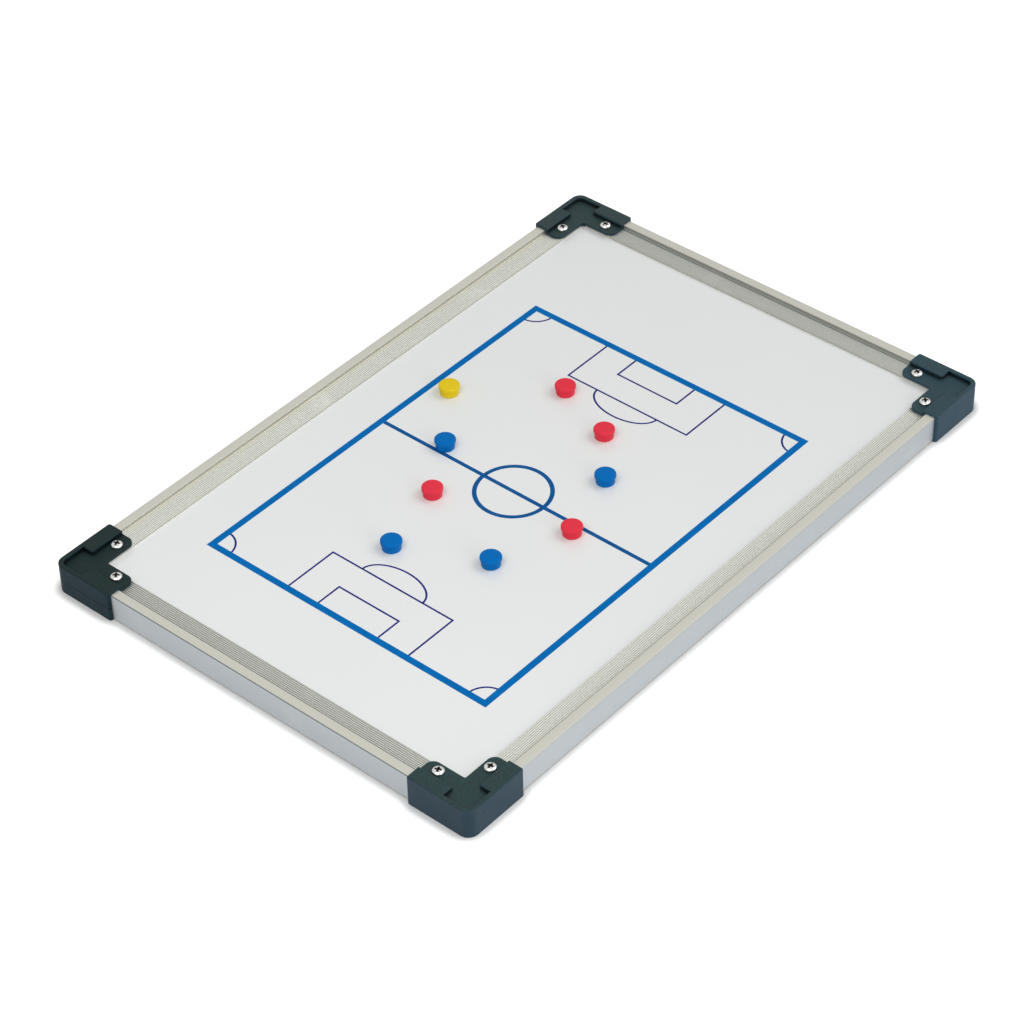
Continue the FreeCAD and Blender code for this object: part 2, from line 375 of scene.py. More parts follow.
@dataclass(frozen=True)
class MouldedBlack(Finish):
    """Black moulded plastic with a spark-eroded grain, rubbed smoother in places."""

    tint: Colour = srgb(4, 30, 32)
    shade: Colour = srgb(26, 60, 63)
    # The side tint is painted light: the walls are tinted cooler for how they are lit.
    lit_side_tint: Colour = srgb(26, 57, 76)
    seam: float = -1.0
    seam_width: float = 0.0006
    seam_tint: Colour = srgb(2, 3, 4)
    gloss: float = 0.32
    # Reach and colour of the painted shade in the corners.
    corner_shade_reach: float = 0.004
    recess_shade_tint: Colour = srgb(1, 5, 6)

    def fill(self, shader: Shader) -> None:
        """Fine grain in the relief, and broad rubbed patches in the gloss and tone.

        Walls take a cooler tint by the upright attribute, painted light for how they are lit; corners take
        painted shade by ambient occlusion; and a dark seam is sunk at one level. A level below the piece
        gives no seam.

        Args:
            shader: Empty tree.
        """
        where = shader.place()
        grain = shader.ramp(shader.noise(where, 0.0009, 4.0, 0.65), ((0.4, 0.0), (0.6, 1.0)))
        patch = shader.ramp(shader.noise(where, 0.011, 4.0, 0.6), ((0.35, 0.0), (0.75, 1.0)))
        upright = shader.node("ShaderNodeAttribute", {"attribute_name": "upright"}, {}, "Fac")
        level = shader.node("ShaderNodeSeparateXYZ", {}, {0: where}, "Z")
        off = (level - self.seam | self.seam - level) * (1.0 / self.seam_width)
        groove = shader.ramp(off, ((0.3, 1.0), (1.0, 0.0)))
        base_tone = shader.blend(0.7 * grain + 0.2 * patch, self.tint, self.shade)
        # Painted light: walls take the cooler side tint by the upright attribute.
        side_lit = shader.blend(upright * (0.45 + 0.5 * grain), base_tone, self.lit_side_tint)
        # Painted shade: corners darkened by ambient occlusion.
        reach = {"Distance": self.corner_shade_reach}
        open_air = shader.node("ShaderNodeAmbientOcclusion", {"only_local": True}, reach, "AO")
        corner_shaded = shader.blend(shader.ramp(open_air, ((0.5, 1.0), (0.92, 0.0))), side_lit, self.recess_shade_tint)
        shader.surface({
            "Base Color": shader.blend(groove, corner_shaded, self.seam_tint),
            "Roughness": 0.42 + 0.14 * grain + 0.1 * patch,
            "Specular IOR Level": self.gloss,
            "Normal": shader.bump(0.2 * grain - groove, 0.0004, 0.55),
        })


@dataclass(frozen=True)
class GlossPlastic(Finish):
    """Glossy coloured plastic with a slight flow mottle and handling scuffs."""

    tint: Colour
    deepening: float = 0.86

    def fill(self, shader: Shader) -> None:
        """Mottled colour, scuffs in the gloss, and a soft moulded waviness.

        Args:
            shader: Empty tree.
        """
        where = shader.place()
        flow = shader.noise(where, 0.004, 3.0)
        scuff = shader.ramp(shader.noise(where, 0.0012, 5.0, 0.7), ((0.55, 0.0), (0.75, 1.0)))
        wave = shader.noise(where, 0.0021, 1.0)
        deep = tuple(self.deepening * part for part in self.tint[:3]) + (1.0,)
        shader.surface({
            "Base Color": shader.blend(0.5 * flow, self.tint, deep),
            "Roughness": 0.28 + 0.16 * scuff,
            "Specular IOR Level": 0.05,
            "Normal": shader.bump(wave, 0.00003, 0.5),
        })


@dataclass(frozen=True)
class BrightPlating(Finish):
    """Bright nickel plating, faintly brushed by handling."""

    tint: Colour = srgb(226, 226, 222)
    shade: Colour = srgb(182, 183, 182)
    # Dark tint painted into the cross recess as shade.
    recess_shade_tint: Colour = srgb(34, 35, 36)

    def fill(self, shader: Shader) -> None:
        """Cloudy tone, fine polishing marks, and painted shade in the cross recess by the z of the run
        attribute.

        Args:
            shader: Empty tree.
        """
        where = shader.place()
        cloud = shader.noise(where, 0.0016, 4.0, 0.65)
        polish = shader.noise(where, 0.0002, 2.0)
        run = shader.node("ShaderNodeAttribute", {"attribute_name": "run"}, {}, "Vector")
        sunk = shader.node("ShaderNodeSeparateXYZ", {}, {0: run}, "Z")
        shader.surface({
            # Painted shade: the recess takes the dark tint by its sunk share.
            "Base Color": shader.blend(sunk, shader.blend(cloud, self.tint, self.shade), self.recess_shade_tint),
            "Metallic": 1.0,
            "Roughness": 0.14 + 0.16 * cloud + 0.3 * sunk,
            "Normal": shader.bump(polish, 0.000008, 0.5),
        })


@dataclass(frozen=True)
class SinteredFerrite(Finish):
    """Dark sintered ferrite with a ground face."""

    tint: Colour = srgb(48, 47, 49)
    shade: Colour = srgb(74, 73, 76)

    def fill(self, shader: Shader) -> None:
        """Speckled tone and grinding lines across the disc.

        Args:
            shader: Empty tree.
        """
        grains = shader.noise(shader.place(), 0.0004, 4.0, 0.7)
        ground = shader.noise(shader.place((1.0, 0.05, 1.0)), 0.00025, 2.0)
        shader.surface({
            "Base Color": shader.blend(grains, self.tint, self.shade),
            "Metallic": 0.35,
            "Roughness": 0.45 + 0.25 * ground,
            "Normal": shader.bump(ground, 0.00001, 0.6),
        })


@dataclass(frozen=True)
class GalvanisedSheet(Finish):
    """Hot-dip zinc with its pattern of flat crystals."""

    tint: Colour = srgb(178, 182, 184)
    shade: Colour = srgb(156, 161, 165)
    crystal_size: float = 0.008

    def fill(self, shader: Shader) -> None:
        """Voronoi crystals of one tone each, with feathered grain.

        Args:
            shader: Empty tree.
        """
        where = shader.place()
        feather = shader.noise(where, 0.004, 5.0, 0.65)
        pattern = {"Vector": where, "Scale": 1.0 / self.crystal_size}
        crystal = shader.node("ShaderNodeTexVoronoi", {}, pattern, "Color")
        tone = shader.node("ShaderNodeSeparateColor", {}, {0: crystal}, 0)
        shader.surface({
            "Base Color": shader.blend(0.7 * tone + 0.3 * feather, self.tint, self.shade),
            "Metallic": 0.9,
            "Roughness": 0.36 + 0.18 * tone + 0.08 * feather,
            "Normal": shader.bump(feather, 0.00001, 0.4),
        })


@dataclass(frozen=True)
class CoreFibre(Finish):
    """Pressed wood fibre of the core."""

    tint: Colour = srgb(164, 130, 92)
    shade: Colour = srgb(128, 96, 64)

    def fill(self, shader: Shader) -> None:
        """Matted fibres over a soft layered tone.

        Args:
            shader: Empty tree.
        """
        fibre = shader.noise(shader.place((1.0, 1.0, 5.0)), 0.0016, 6.0, 0.7)
        layer = shader.noise(shader.place((0.1, 0.1, 1.0)), 0.0015, 2.0)
        shader.surface({
            "Base Color": shader.blend(0.7 * fibre + 0.3 * layer, self.tint, self.shade),
            "Roughness": 0.7 + 0.2 * fibre,
            "Normal": shader.bump(fibre, 0.00012, 0.6),
        })


def rounded_outline(corners: Sequence[Triple], steps: int = 6) -> Array:
    """Round every corner of a closed outline by a tangent arc.

    With unit vectors a and b from a corner to its neighbours, and h half the angle between them, the arc's
    centre lies r / sin h from the corner along a + b, and the arc turns about it from the point r / tan h
    along a to the point r / tan h along b.

    Args:
        corners: x, y and radius of each corner, in order.
        steps: Straight runs in each arc.

    Returns:
        The arcs' points, shape (corners, steps + 1, 2).
    """
    table = np.array(corners, float)
    corner, radius = table[:, :2], table[:, 2:]
    before = unit(np.roll(corner, 1, axis=0) - corner)
    after = unit(np.roll(corner, -1, axis=0) - corner)
    half = np.arccos(np.clip((before * after).sum(axis=1, keepdims=True), -1.0, 1.0)) / 2.0
    centre = corner + unit(before + after) * radius / np.sin(half)
    start = corner + before * radius / np.tan(half) - centre
    end = corner + after * radius / np.tan(half) - centre
    first = np.arctan2(start[:, 1], start[:, 0])
    turn = np.arctan2(start[:, 0] * end[:, 1] - start[:, 1] * end[:, 0], (start * end).sum(axis=1))
    angle = first[:, None] + turn[:, None] * np.linspace(0.0, 1.0, steps + 1)
    return centre[:, None] + radius[:, None] * np.stack([np.cos(angle), np.sin(angle)], axis=-1)


def turned_surface(profile: Array, angle: Array) -> Array:
    """Turn rows of radius and level about the upright axis: (r, z) goes to (r cos t, r sin t, z)."""
    radius, level = profile[:, :1], profile[:, 1:]
    return np.stack([radius * np.cos(angle), radius * np.sin(angle), level + 0.0 * angle], axis=-1)


def film_along(path: Array, width: float, low: float, high: float, closed: bool) -> Array:
    """Carry a flat rectangular section along a level path, mitred at its corners.

    With m and n the unit normals of the runs before and after a point, the section's edge stands off the
    path by (m + n) / (1 + m . n) times half the width.

    Args:
        path: Rows of x and y.
        width: Width of the film.
        low: Level of its underside.
        high: Level of its top.
        closed: Whether the path ends where it starts.

    Returns:
        Points, shape (path rows, 4, 3).
    """
    run = unit(np.roll(path, -1, axis=0) - path)
    after = np.stack([-run[:, 1], run[:, 0]], axis=-1)
    before = np.roll(after, 1, axis=0)
    if not closed:
        after[-1] = after[-2]
        before[0] = after[0]
    offset = (before + after) / (1.0 + (before * after).sum(axis=1, keepdims=True)) * width / 2.0
    edges = np.stack([path + offset, path - offset, path - offset, path + offset], axis=1)
    levels = np.broadcast_to(np.array([low, low, high, high])[None, :, None], (len(path), 4, 1))
    return np.concatenate([edges, levels], axis=-1)


class Surface:
    """Points and faces of one piece, in millimetres, gathered as whole arrays."""

    def __init__(self) -> None:
        """Start with nothing."""
        self.points: list[Array] = []
        self.faces: list[list[int]] = []
        self.runs: list[Array] = []
        self.count = 0

    def add_grid(self, grid: Array, wrap_rows: bool = False, wrap_columns: bool = True) -> Array:
        """Add a grid of points, with a quad between each point and its next row and column.

        Args:
            grid: Points, shape (rows, columns, 3).
            wrap_rows: Whether the last row joins the first.
            wrap_columns: Whether the last column joins the first.

        Returns:
            The numbers of the points, shape (rows, columns).
        """
        number = np.arange(grid.shape[0] * grid.shape[1]).reshape(grid.shape[:2]) + self.count
        index = np.vstack([number, number[:1]]) if wrap_rows else number
        index = np.hstack([index, index[:, :1]]) if wrap_columns else index
        quads = np.stack([index[:-1, :-1], index[1:, :-1], index[1:, 1:], index[:-1, 1:]], axis=-1)
        self.points.append(grid.reshape(-1, 3))
        self.faces += quads.reshape(-1, 4).tolist()
        self.count += number.size
        return number

    def add_lid(self, loops: Sequence[Array], grids: Sequence[Array]) -> None:
        """Close the end of a tube between its outer loop and the holes in it.

        Args:
            loops: Numbers of the points of the outer loop, then of each hole.
            grids: The points themselves, loop by loop.
        """
        number = np.concatenate(loops)
        triangles = tessellate_polygon([[Vector(point) for point in grid] for grid in grids])
        self.faces += number[np.array(triangles)].tolist()

    def piece(self, name: str) -> bpy.types.Object:
        """Make the object, with its seams and poles welded.

        Args:
            name: Name of the piece.

        Returns:
            The object, at the origin.
        """
        mesh = bpy.data.meshes.new(name)
        mesh.from_pydata(np.concatenate(self.points) * MM, [], self.faces)
        if self.runs:
            run = mesh.attributes.new("run", "FLOAT_VECTOR", "POINT")
            run.data.foreach_set("vector", np.concatenate(self.runs).astype(np.float32).ravel())
        return shaded_piece(name, mesh)


def shaded_piece(name: str, mesh: bpy.types.Mesh) -> bpy.types.Object:
    """Weld a mesh, turn its faces outwards, shade it smooth and put it in the scene.

    Args:
        name: Name of the piece.
        mesh: Its mesh.

    Returns:
        The object.
    """
    work = bmesh.new()
    work.from_mesh(mesh)
    bmesh.ops.remove_doubles(work, verts=work.verts, dist=WELD)
    bmesh.ops.dissolve_degenerate(work, edges=work.edges, dist=WELD)
    bmesh.ops.recalc_face_normals(work, faces=work.faces)
    work.to_mesh(mesh)
    work.free()
    mesh.polygons.foreach_set("use_smooth", np.ones(len(mesh.polygons), bool))
    mesh.set_sharp_from_angle(angle=SHARP_ANGLE)
    piece = bpy.data.objects.new(name, mesh)
    bpy.context.scene.collection.objects.link(piece)
    return piece


def settle(piece: bpy.types.Object, finish: Finish, body: str, nodes: Sequence[str] = ()) -> None:
    """Dress a new piece, let it ride on its body and hide the nodes that it stands for.

    Args:
        piece: The piece.
        finish: Its finish.
        body: Body that it moves with.
        nodes: CAD nodes that it replaces.
    """
    finish.put_on(piece)
    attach(piece, body)
    if nodes:
        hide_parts(*nodes)
    LOG.info("%s: %d faces on %s", piece.name, len(piece.data.polygons), body)


def dress_node(node: str, finish: Finish) -> None:
    """Put a finish on a CAD node that keeps its form, and report it."""
    finish.put_on(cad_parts[node])
    LOG.info("%s: dressed", node)


@dataclass
class Panel:
    """The steel-faced panel, whose plain sheets keep their CAD form."""

    face: WhiteLacquer = WhiteLacquer("white_lacquer_finish")
    core: CoreFibre = CoreFibre("core_fibre_finish")
    back: GalvanisedSheet = GalvanisedSheet("galvanised_finish")

    def dress(self) -> None:
        """Put the finishes on the three layers."""
        dress_node("face_sheet", self.face)
        dress_node("core_panel", self.core)
        dress_node("back_sheet", self.back)


@dataclass
class PrintedPitch:
    """Football pitch printed on the face, in millimetres from its centre."""

    face_level: float = 13.2
    centre_x: float = 0.8
    centre_y: float = -16.4
    area_shift: float = 0.5
    half_width: float = 100.5
    half_length: float = 139.75
    bold: float = 4.2
    medium: float = 2.65
    thin: float = 1.2
    film: float = 0.02
    halfway: float = 0.8
    circle: float = 22.2
    penalty_half: float = 44.15
    penalty_depth: float = 37.8
    goal_half: float = 22.0
    goal_depth: float = 18.85
    arc_half: float = 22.2
    arc_depth: float = 13.25
    corner: float = 12.8
    arc_steps: int = 48
    area_ink: PrintInk = PrintInk("area_ink", srgb(48, 52, 132), srgb(38, 42, 116))
    halfway_ink: PrintInk = PrintInk("halfway_ink", srgb(24, 92, 157), srgb(14, 82, 143))
    outline_ink: PrintInk = PrintInk("outline_ink")

    @property
    def tuck(self) -> float:
        """How far inside the middle of the outline a line ends under it."""
        return self.bold / 4.0

    def arc(self, radii: tuple[float, float], start: float, turn: float, closed: bool = False) -> Array:
        """Ellipse arc (a cos t, b sin t) through a turn in degrees, without its end where it closes."""
        angle = np.radians(start + turn * np.linspace(0.0, 1.0, self.arc_steps, endpoint=not closed))
        return np.stack([radii[0] * np.cos(angle), radii[1] * np.sin(angle)], axis=-1)

    def box_line(self, half: float, depth: float) -> Array:
        """Three sides of an area at the front goal line, by half its width and its depth."""
        front, far = self.tuck - self.half_length, depth - self.half_length
        return np.array([(-half, front), (-half, far), (half, far), (half, front)])

    def end_lines(self) -> list[Array]:
        """Thin lines at the front end: two areas, the arc beyond them and two corner arcs.

        Returns:
            Open paths.
        """
        far = -self.half_length + self.penalty_depth
        bow = self.arc((self.arc_half, self.arc_depth), 0.0, 180.0) + (0.0, far)
        corner = self.arc((self.corner, self.corner), 0.0, 90.0) + (-self.half_width, -self.half_length)
        penalty = self.box_line(self.penalty_half, self.penalty_depth)
        goal = self.box_line(self.goal_half, self.goal_depth)
        return [penalty, goal, bow, corner, corner * (-1.0, 1.0)]

    def line(self, surface: Surface, path: Array, width: float, layer: int, closed: bool) -> None:
        """Add one printed line.

        Args:
            surface: Surface that takes it.
            path: Its middle, from the centre of the pitch.
            width: Its width.
            layer: Order of printing: a later layer covers an earlier one.
            closed: Whether it ends where it starts.
        """
        low, high = self.face_level - self.film, self.face_level + self.film * layer
        grid = film_along(path + (self.centre_x, self.centre_y), width, low, high, closed)
        number = surface.add_grid(grid, wrap_rows=closed)
        if not closed:
            surface.faces += [number[0].tolist(), number[-1].tolist()]

    def build(self) -> None:
        """Print the three inks, each as its own film."""
        thin = Surface()
        for path in self.end_lines():
            for flip in (1.0, -1.0):
                self.line(thin, path * (1.0, flip) + (self.area_shift, 0.0), self.thin, 1, False)
        medium = Surface()
        inner = self.half_width - self.tuck
        self.line(medium, np.array([(-inner, self.halfway), (inner, self.halfway)]), self.medium, 2, False)
        ring = self.arc((self.circle, self.circle), 0.0, 360.0, True) + (0.0, self.halfway)
        self.line(medium, ring, self.medium, 3, True)
        bold = Surface()
        sides = np.array([(-1, -1), (1, -1), (1, 1), (-1, 1)]) * (self.half_width, self.half_length)
        self.line(bold, sides, self.bold, 4, True)
        settle(thin.piece("pitch_area_lines"), self.area_ink, BOARD)
        settle(medium.piece("pitch_halfway_line"), self.halfway_ink, BOARD)
        settle(bold.piece("pitch_outline"), self.outline_ink, BOARD)


@dataclass(frozen=True)
class RailPaintedShade:
    """Painted-shade shares of the forms of one rail: darker tones that stand in for shade and dark
    reflections.

    The crown is the top of the rim, brow and foot are the halves of the step from it down to the lip, and
    the land is the flat beside the step.
    """

    crown: float = 0.0
    brow: float = 0.3
    foot: float = 0.4
    land: float = 0.0
    outer_edge: float = 0.5
    inner_edge: float = 1.2
    flutes: float = 1.0


@dataclass
class FrameRails:
    """Extruded rails, in millimetres: x inward from the outer face, y up from the underside.

    The painted shade follows the order of the sides.
    """

    bottom: float = 0.8
    height: float = 16.7
    rim: float = 6.1
    wall: float = 1.2
    reach: float = 17.9
    lip_level: float = 14.1
    lip_under: float = 12.4
    lip_land: float = 0.3
    flange: float = 15.1
    flange_top: float = 1.2
    edge: float = 0.25
    rim_edge: float = 0.55
    flutes: int = 8
    flute_pitch: float = 1.25
    flute_depth: float = 0.38
    flute_steps: int = 12
    # Painted shade for each side: each rail's step, land, edges and flutes are darkened for how that side is
    # lit.
    painted_shades: tuple[RailPaintedShade, ...] = (
        RailPaintedShade(brow=0.2, foot=0.0, inner_edge=0.0),
        RailPaintedShade(land=0.3, outer_edge=1.2, flutes=1.14),
        RailPaintedShade(flutes=0.8),
        RailPaintedShade(crown=0.08, brow=0.44, foot=0.44, land=0.85, inner_edge=0.3, flutes=1.26),
    )
    finish: AnodisedRail = AnodisedRail("anodised_finish")

    def flute_line(self) -> Array:
        """Top of the lip from its inner edge to the land at the rim.

        After t flutes its level is that of the lip less the depth times ((1 - cos 2 pi t) / 2) ** 2.

        Returns:
            Rows of x and y.
        """
        turns = np.linspace(0.0, self.flutes, self.flutes * self.flute_steps + 1)
        groove = ((1.0 - np.cos(2.0 * math.pi * turns)) / 2.0) ** 2
        across = self.reach - self.lip_land - turns * self.flute_pitch
        return np.stack([across, self.lip_level - self.flute_depth * groove], axis=-1)

    def section(self) -> tuple[Array, Array]:
        """Outer and inner outline of the extrusion.

        Returns:
            Rows of x and y of each.
        """
        edge = self.edge
        arcs = rounded_outline([
            (0.0, 0.0, edge), (self.flange, 0.0, edge), (self.flange, self.flange_top, edge),
            (self.rim, self.flange_top, edge), (self.rim, self.lip_under, edge),
            (self.reach, self.lip_under, edge), (self.reach, self.lip_level, edge),
            (self.rim, self.lip_level, edge), (self.rim, self.height, edge),
            (0.0, self.height, self.rim_edge)])
        outer = np.concatenate([arcs[:7].reshape(-1, 2), self.flute_line(), arcs[7:].reshape(-1, 2)])
        low, far, top = self.wall, self.rim - self.wall, self.height - self.wall
        chamber = rounded_outline([(low, low, edge), (low, top, edge), (far, top, edge), (far, low, edge)])
        return outer, chamber.reshape(-1, 2)

    def bar(self, outline: Array, half_run: float, outside: float, side: Side) -> Array:
        """Carry an outline along the left side and turn it to its own side.

        Args:
            outline: Rows of x and y.
            half_run: Half the length of the rail.
            outside: Distance of its outer face from the board's middle.
            side: Side that it belongs on.

        Returns:
            Points, shape (2, outline rows, 3).
        """
        along = np.array([-half_run, half_run])[:, None] + 0.0 * outline[:, 0]
        across = outline[:, 0] - outside + 0.0 * along
        level = outline[:, 1] + self.bottom + 0.0 * along
        return side.turned(np.stack([across, along, level], axis=-1))

    def with_painted_shade(self, outline: Array, side: Side) -> Array:
        """Painted-shade share of each point: the flutes by their depth, then the land, step, crown and
        edges.

        Args:
            outline: Rows of x and y.
            side: Side that the rail belongs on.

        Returns:
            A share for each row, 0 where no shade is painted.
        """
        x, y = outline.T
        share = self.painted_shades[side.value]
        land_end = self.reach - self.lip_land - self.flutes * self.flute_pitch
        over_lip = (x > self.rim) & (y > (self.lip_under + self.lip_level) / 2.0)
        sunk = np.clip((self.lip_level - y) / self.flute_depth, 0.0, 1.0)
        shade_share = np.where(over_lip, share.flutes * sunk, 0.0)
        shade_share[over_lip & (x < land_end + SLACK)] = share.land
        step = (np.abs(x - self.rim) < self.edge) & (y > self.lip_level)
        lower = y < (self.lip_level + self.height) / 2.0
        shade_share[step] = np.where(lower, share.foot, share.brow)[step]
        shade_share[y > self.height - SLACK] = share.crown
        shade_share[(x < self.rim_edge - SLACK) & (y > self.height - self.rim_edge + SLACK)] = share.outer_edge
        shade_share[over_lip & (x > self.reach - self.edge + SLACK)] = share.inner_edge
        return shade_share

    def run(self, outline: Array, half_run: float, side: Side) -> Array:
        """Run attribute of an outline's two ends: length along, length round it, and the form.

        The form is minus the painted-shade share where there is any, and else, on the outside of the rim,
        the upright share of the outline's direction, which takes the painted side tint.

        Args:
            outline: Rows of x and y.
            half_run: Half the length of the rail.
            side: Side that the rail belongs on.

        Returns:
            Rows of the attribute, lengths in metres.
        """
        round_it = np.cumsum(np.linalg.norm(np.diff(outline, axis=0, prepend=outline[:1]), axis=1)) * MM
        upright = np.abs(unit(np.roll(outline, -1, axis=0) - np.roll(outline, 1, axis=0))[:, 1])
        shade_share = self.with_painted_shade(outline, side)
        form = np.where(shade_share > 0.0, -shade_share, np.where(outline[:, 0] < self.rim / 2.0, upright, 0.0))
        ends = np.array([-half_run, half_run])[:, None] * MM
        columns = [ends + 0.0 * form, round_it + 0.0 * ends, form + 0.0 * ends]
        return np.stack(columns, axis=-1).reshape(-1, 3)

    def build(self) -> None:
        """Make the four rails, square cut, with their hollow rims."""
        outlines = self.section()
        for side in Side:
            name = side.name.lower()
            low, high = [np.array(corner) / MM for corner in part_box(f"rail_{name}")]
            along = 1 if side in (Side.LEFT, Side.RIGHT) else 0
            half_run = (high - low)[along] / 2.0
            outside = max(-low[1 - along], high[1 - along])
            surface = Surface()
            bars = [self.bar(outline, half_run, outside, side) for outline in outlines]
            numbers = [surface.add_grid(bar) for bar in bars]
            for end in (0, 1):
                surface.add_lid([number[end] for number in numbers], [bar[end] for bar in bars])
            surface.runs = [self.run(outline, half_run, side) for outline in outlines]
            piece = surface.piece(f"extruded_rail_{name}")
            settle(piece, self.finish, BOARD, [f"rail_{name}"])


@dataclass
class CornerCaps:
    """Moulded corner caps: the CAD form with its edges rounded off, in millimetres."""

    corners: tuple[str, ...] = ("front_left", "front_right", "back_right", "back_left")
    edge: float = 0.3
    segments: int = 3
    # One black plastic in four copies, each tinted darker or lighter to paint how the light falls on its
    # corner.
    finishes: tuple[MouldedBlack, ...] = (
        MouldedBlack("seamed_black_finish", srgb(2, 18, 18), srgb(18, 44, 44), srgb(12, 44, 56),
                     seam=0.0087, gloss=0.18),
        MouldedBlack("moulded_black_finish"),
        MouldedBlack("brightly_lit_black_finish", srgb(9, 40, 46), srgb(34, 71, 81), srgb(33, 68, 88)),
        MouldedBlack("dimly_lit_black_finish", srgb(3, 27, 29), srgb(24, 57, 59), srgb(24, 54, 71)),
    )

    def build(self) -> None:
        """Copy each cap, weld its facets, mark its walls and round its edges."""
        for corner, finish in zip(self.corners, self.finishes):
            node = f"cap_{corner}"
            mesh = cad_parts[node].data.copy()
            mesh.materials.clear()
            if "custom_normal" in mesh.attributes:
                mesh.attributes.remove(mesh.attributes["custom_normal"])
            piece = shaded_piece(f"moulded_cap_{corner}", mesh)
            normals = np.zeros(3 * len(mesh.polygons), np.float32)
            mesh.polygons.foreach_get("normal", normals)
            upright = mesh.attributes.new("upright", "FLOAT", "FACE")
            upright.data.foreach_set("value", 1.0 - np.abs(normals[2::3]))
            bevel = piece.modifiers.new("rounded_edges", "BEVEL")
            bevel.width = self.edge * MM
            bevel.segments = self.segments
            bevel.limit_method = "ANGLE"
            bevel.angle_limit = SHARP_ANGLE
            bevel.harden_normals = True
            settle(piece, finish, BOARD, [node])


@dataclass
class CapScrews:
    """Pan-head screws in the caps, in millimetres, with a cross recess in each head."""

    plate_level: float = 16.5
    along: float = 32.0
    inset: float = 13.025
    half_width: float = 150.0
    half_length: float = 225.0
    head: float = 3.35
    head_height: float = 2.4
    head_edge: float = 0.9
    head_chamfer: float = 0.12
    dome_share: float = 0.96
    shank: float = 1.6
    shank_rows: int = 64
    length: float = 12.0
    neck: float = 0.2
    point: float = 2.0
    thread_start: float = 0.4
    thread_pitch: float = 1.3
    thread_depth: float = 0.22
    recess: tuple[float, ...] = (0.0, 0.15, 0.21, 0.52, 0.59, 1.0)
    recess_steps: int = 5
    recess_depth: float = 1.9
    recess_fade: float = 0.45
    first_spin: float = 0.35
    next_spin: float = 1.9
    finish: BrightPlating = BrightPlating("bright_plating_finish")

    def head_lines(self) -> Array:
        """Lines of the head's grid from -1 to 1, closer over the flanks and the tips of the cross.

        Returns:
            Their places, in order.
        """
        spans = len(self.recess) - 1
        steps = np.linspace(0.0, spans, spans * self.recess_steps + 1)
        half = np.interp(steps, np.arange(spans + 1), self.recess)
        return np.concatenate([-half[:0:-1], half])

    def head_surface(self, spin: float) -> tuple[Array, Array]:
        """Domed head with a cross recess.

        A square grid u, v goes to the disc by x = u sqrt(1 - v^2 / 2) and y = v sqrt(1 - u^2 / 2). The dome
        stands sqrt(1 - share (x^2 + y^2)) times its height over the edge, and inside the cross it sinks by a
        depth that fades from the middle to the tips.

        Args:
            spin: Turn of the cross, in radians.

        Returns:
            Points, shape (lines, lines, 3), and the share by which each is sunk.
        """
        u, v = np.meshgrid(self.head_lines(), self.head_lines())
        x, y = u * np.sqrt(1.0 - v ** 2 / 2.0), v * np.sqrt(1.0 - u ** 2 / 2.0)
        long, wide = np.maximum(np.abs(u), np.abs(v)), np.minimum(np.abs(u), np.abs(v))
        _, flank, brow, tip, end, _ = self.recess
        across = np.clip((brow - wide) / (brow - flank), 0.0, 1.0)
        inside = across * np.clip((end - long) / (end - tip), 0.0, 1.0)
        dome = self.head_height - self.head_edge
        level = self.head_edge + dome * np.sqrt(1.0 - self.dome_share * (x ** 2 + y ** 2))
        level -= self.recess_depth * (1.0 - self.recess_fade * long / end) * inside
        turn = np.array([math.cos(spin), math.sin(spin)]) * self.head
        points = np.stack([x * turn[0] - y * turn[1], x * turn[1] + y * turn[0], level], axis=-1)
        return points, inside

    def shank_surface(self, rim: Array) -> Array:
        """Edge and underside of the head and the threaded shank, on the angles of the head's rim.

        The thread swells the shank by a triangle wave of z / pitch + angle / turn.

        Args:
            rim: Points round the rim of the head.

        Returns:
            Points, shape (rows, rim points, 3).
        """
        angle = np.arctan2(rim[:, 1], rim[:, 0])
        foot = self.head - self.head_chamfer
        under = np.array([
            (self.head, rim[0, 2]), (self.head, self.head_chamfer), (foot, 0.0), (self.shank, 0.0)])
        level = np.linspace(-self.neck, -self.length, self.shank_rows)
        taper = np.clip((self.length + level) / self.point, 0.0, 1.0)
        profile = np.concatenate([under, np.stack([self.shank * taper, level], axis=-1)])
        grid = turned_surface(profile, angle)
        wave = np.abs((profile[:, 1:] / self.thread_pitch + angle / (2.0 * math.pi)) % 1.0 - 0.5) * 2.0
        threaded = profile[:, 1:] < -self.thread_start
        swell = 1.0 + np.where(threaded, self.thread_depth * (wave - 0.5) / self.shank, 0.0)
        grid[..., :2] *= swell[..., None]
        return grid

    def build(self) -> None:
        """Set the eight screws in one piece, each turned as the driver left it."""
        surface = Surface()
        spots = [(self.inset, self.along), (self.along, self.inset)]
        places = [(right * (self.half_width - x), back * (self.half_length - y))
                  for right in (-1, 1) for back in (-1, 1) for x, y in spots]
        for number, (x, y) in enumerate(places):
            head, sunk = self.head_surface(self.first_spin + self.next_spin * number)
            rim = np.concatenate([head[0, :-1], head[:-1, -1], head[-1, :0:-1], head[:0:-1, 0]])
            shank = self.shank_surface(rim)
            surface.add_grid(head + (x, y, self.plate_level), wrap_columns=False)
            surface.add_grid(shank + (x, y, self.plate_level))
            surface.runs += [sunk.reshape(-1, 1) * (0.0, 0.0, 1.0), 0.0 * shank.reshape(-1, 3)]
        settle(surface.piece("pan_head_screws"), self.finish, BOARD, ["cap_screws"])


